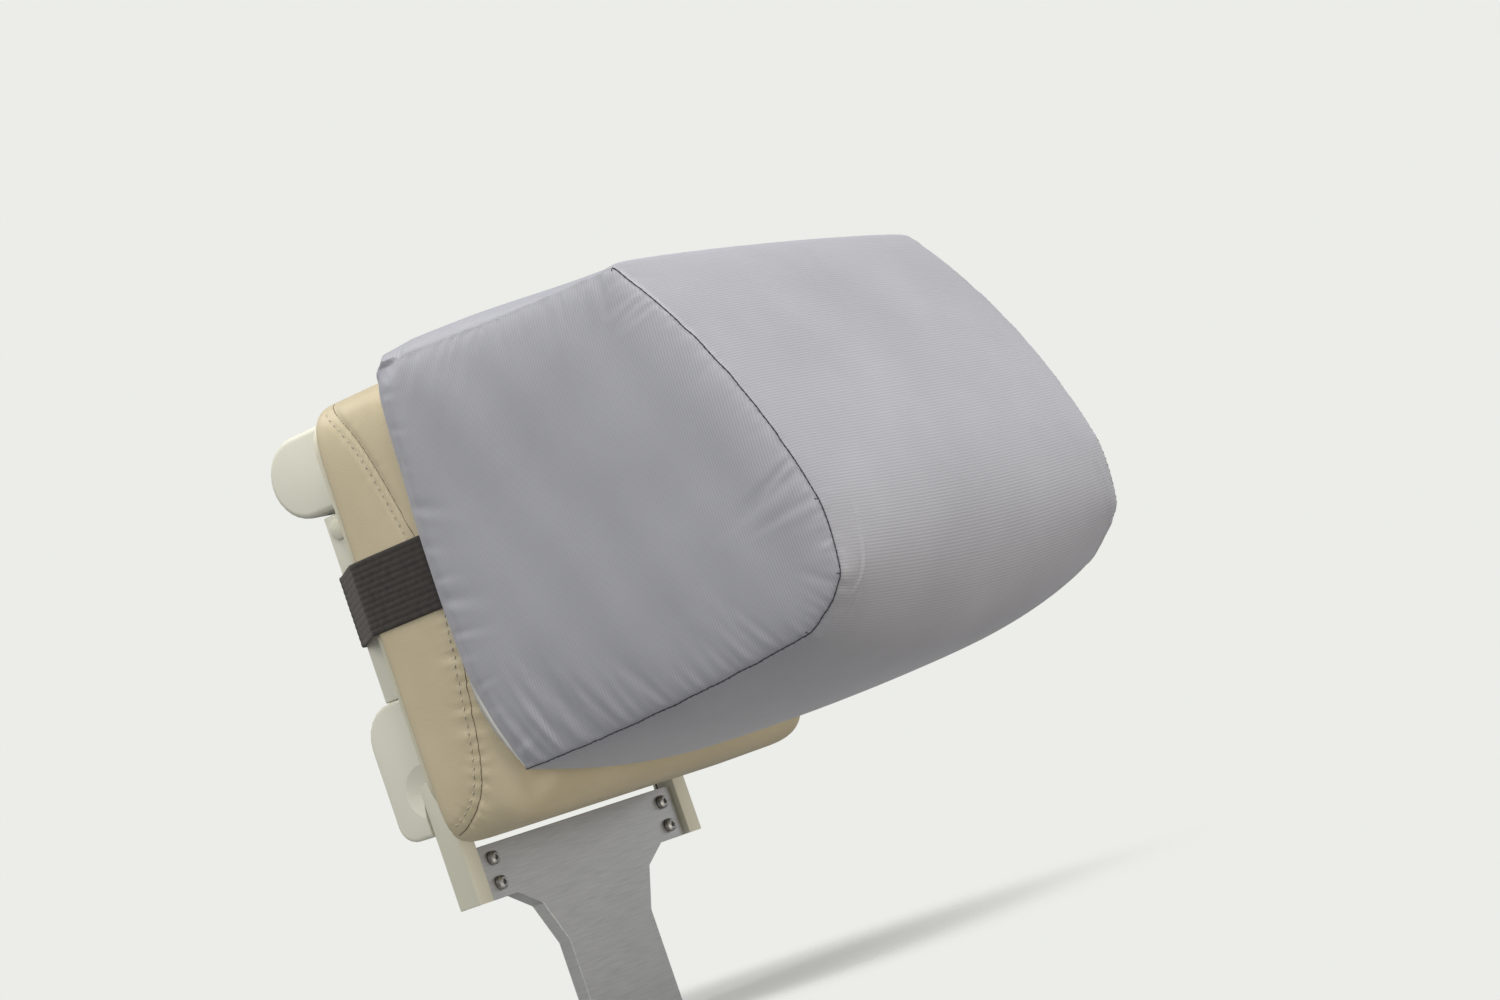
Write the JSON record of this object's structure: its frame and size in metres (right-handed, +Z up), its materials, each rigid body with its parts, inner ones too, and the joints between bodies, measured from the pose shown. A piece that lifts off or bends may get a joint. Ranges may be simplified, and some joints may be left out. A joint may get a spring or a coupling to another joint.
{
  "type": "chair headrest attachment",
  "caption": "Tilting chair headrest on a flat stem, with a release handle behind it and a strap-on wedge cushion in front",
  "frame": {"origin": "centre of the flat bottom end of the glide bar", "axes": "+X across the headrest, -Y towards the sitter's head, +Y to the back, +Z up along the stem"},
  "size_m": [0.3022, 0.3606, 0.3781],
  "materials": {
    "fastener_steel": "satin",
    "bright_steel": "satin",
    "brushed_bar": "satin",
    "bush_bronze": "satin",
    "black_plastic": "matte",
    "brake_lining": "matte",
    "ivory_plastic": "satin",
    "ivory_paint": "satin",
    "beige_leatherette": "satin",
    "foam": "matte",
    "board_plastic": "satin",
    "grey_satin_fabric": "satin",
    "white_backing_fabric": "matte",
    "black_elastic": "matte"
  },
  "bodies": {
    "stem": {"arm_screw_1": "fastener_steel", "arm_screw_2": "fastener_steel", "arm_screw_3": "fastener_steel", "arm_screw_4": "fastener_steel", "brake_drum": "bright_steel", "glide_bar": "brushed_bar", "hinge_shaft": "bright_steel", "shaft_collar_left": "bright_steel", "shaft_collar_right": "bright_steel", "stem_arm_left": "ivory_paint", "stem_arm_right": "ivory_paint"},
    "headrest": {"carrier_frame": "ivory_paint", "cushion_back_panel": "white_backing_fabric", "cushion_cover": "grey_satin_fabric", "cushion_foam": "foam", "elastic_strap": "black_elastic", "handle_pin_left": "ivory_paint", "handle_pin_right": "ivory_paint", "hinge_bush_left": "bush_bronze", "hinge_bush_right": "bush_bronze", "lower_housing_front": "ivory_plastic", "lower_housing_rear": "ivory_plastic", "mounting_plate": "ivory_paint", "pad_back_board": "board_plastic", "pad_cover": "beige_leatherette", "pad_foam": "foam", "pad_screw_1": "fastener_steel", "pad_screw_2": "fastener_steel", "pad_screw_3": "fastener_steel", "pad_screw_4": "fastener_steel", "return_spring": "bright_steel", "rod_guide": "black_plastic", "spine_cover": "ivory_plastic", "spring_seat": "ivory_paint"},
    "release_handle": {"handle_insert": "ivory_paint", "handle_screw_1": "fastener_steel", "handle_screw_2": "fastener_steel", "handle_shell": "ivory_plastic"},
    "release_rod": {"release_rod": "bright_steel", "brake_shoe": "brake_lining"}
  },
  "joints": [
    {"name": "headrest_tilt", "type": "hinge", "parent": "stem", "child": "headrest", "pos_m": [0, 0, 0.157], "axis": [1, 0, 0], "range_deg": [0, 25]},
    {"name": "handle_squeeze", "type": "hinge", "parent": "headrest", "child": "release_handle", "pos_m": [0, 0.003, 0.309], "axis": [1, 0, 0], "range_deg": [0, 10], "stiffness_Nm_per_rad": 1.2, "springref_deg": -6.88},
    {"name": "rod_slide", "type": "slide", "parent": "headrest", "child": "release_rod", "axis": [0, 0, -1], "range_m": [0, 0.003], "deforming": ["return_spring"]}
  ],
  "couplings": [
    {"joint": "rod_slide", "follows": "handle_squeeze", "m_per_rad": 0.0166}
  ]
}
